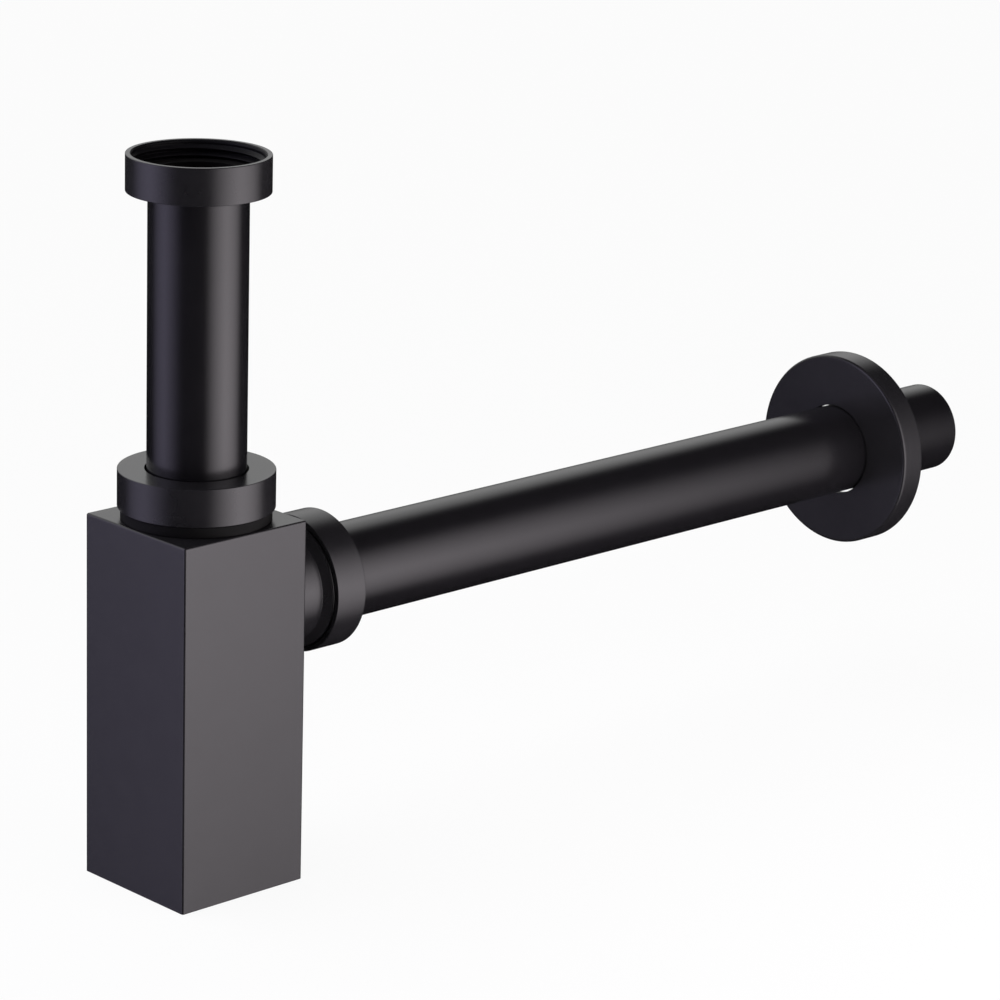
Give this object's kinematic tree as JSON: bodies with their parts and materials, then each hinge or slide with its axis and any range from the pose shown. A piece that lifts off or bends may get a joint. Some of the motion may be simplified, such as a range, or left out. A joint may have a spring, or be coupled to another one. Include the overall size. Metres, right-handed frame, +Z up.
{
  "type": "bottle trap",
  "caption": "Square-bodied basin bottle trap with a height-adjustable inlet pipe, a long outlet pipe and a sliding round wall flange.",
  "frame": {"origin": "centre of the inlet nut's open mouth, where the basin waste screws in", "axes": "+Z up along the inlet axis, out of the nut's mouth; +X along the outlet pipe towards the wall"},
  "size_m": [0.3788, 0.07, 0.2404],
  "materials": {
    "black_finish": "satin black lacquer on brass",
    "plain_brass": "turned, unlacquered",
    "rubber": "moulded black rubber",
    "nylon": "natural nylon"
  },
  "bodies": {
    "trap_body": {"body_shell": "black_finish", "base_plate": "black_finish", "neck_collar": "black_finish", "neck_gasket": "rubber", "dip_tube": "plain_brass", "outlet_stub": "black_finish", "outlet_collar": "black_finish", "outlet_washer": "rubber", "cleanout_bush": "plain_brass"},
    "body_seal": {"body_seal": "rubber"},
    "inlet_pipe": {"inlet_pipe": "black_finish", "inlet_washer": "rubber"},
    "inlet_slip_ring": {"inlet_slip_ring": "nylon"},
    "inlet_nut": {"inlet_nut": "black_finish"},
    "body_slip_ring": {"body_slip_ring": "nylon"},
    "body_nut": {"body_nut": "black_finish"},
    "outlet_slip_ring": {"outlet_slip_ring": "nylon"},
    "outlet_nut": {"outlet_nut": "black_finish"},
    "outlet_pipe": {"outlet_pipe": "black_finish"},
    "wall_flange": {"wall_flange": "black_finish"},
    "cleanout_gasket": {"cleanout_gasket": "rubber"},
    "cleanout_plug": {"cleanout_plug": "black_finish"}
  },
  "joints": [
    {"name": "inlet_swivel", "type": "hinge", "parent": "trap_body", "child": "body_seal", "pos_m": [0, 0, -0.1118], "axis": [0, 0, 1], "continuous": true},
    {"name": "inlet_height", "type": "slide", "parent": "body_seal", "child": "inlet_pipe", "axis": [0, 0, 1], "range_m": [-0.04, 0.035]},
    {"name": "inlet_nut_slide", "type": "slide", "parent": "inlet_pipe", "child": "inlet_slip_ring", "axis": [0, 0, 1], "range_m": [-0.04, 0]},
    {"name": "inlet_nut_spin", "type": "hinge", "parent": "inlet_slip_ring", "child": "inlet_nut", "pos_m": [0, 0, -0.012], "axis": [0, 0, 1], "continuous": true},
    {"name": "body_nut_travel", "type": "slide", "parent": "trap_body", "child": "body_slip_ring", "axis": [0, 0, 1], "range_m": [0, 0.0077]},
    {"name": "body_nut_turn", "type": "hinge", "parent": "body_slip_ring", "child": "body_nut", "pos_m": [0, 0, -0.1143], "axis": [0, 0, 1], "range_deg": [0, 1200]},
    {"name": "outlet_nut_travel", "type": "slide", "parent": "trap_body", "child": "outlet_slip_ring", "axis": [1, 0, 0], "range_m": [0, 0.0058]},
    {"name": "outlet_nut_turn", "type": "hinge", "parent": "outlet_slip_ring", "child": "outlet_nut", "pos_m": [0.0407, 0, -0.1483], "axis": [1, 0, 0], "range_deg": [0, 900]},
    {"name": "outlet_swivel", "type": "hinge", "parent": "trap_body", "child": "outlet_pipe", "pos_m": [0.0485, 0, -0.1483], "axis": [1, 0, 0], "continuous": true},
    {"name": "flange_slide", "type": "slide", "parent": "outlet_pipe", "child": "wall_flange", "axis": [1, 0, 0], "range_m": [-0.24, 0.04]},
    {"name": "cleanout_travel", "type": "slide", "parent": "trap_body", "child": "cleanout_gasket", "axis": [0, 0, -1], "range_m": [0, 0.0061]},
    {"name": "cleanout_turn", "type": "hinge", "parent": "cleanout_gasket", "child": "cleanout_plug", "pos_m": [0, 0, -0.2404], "axis": [0, 0, -1], "range_deg": [0, 1440]}
  ],
  "couplings": [
    {"joint": "body_nut_travel", "follows": "body_nut_turn", "m_per_rad": 0.00036749},
    {"joint": "outlet_nut_travel", "follows": "outlet_nut_turn", "m_per_rad": 0.00036749},
    {"joint": "cleanout_travel", "follows": "cleanout_turn", "m_per_rad": 0.00023873}
  ]
}
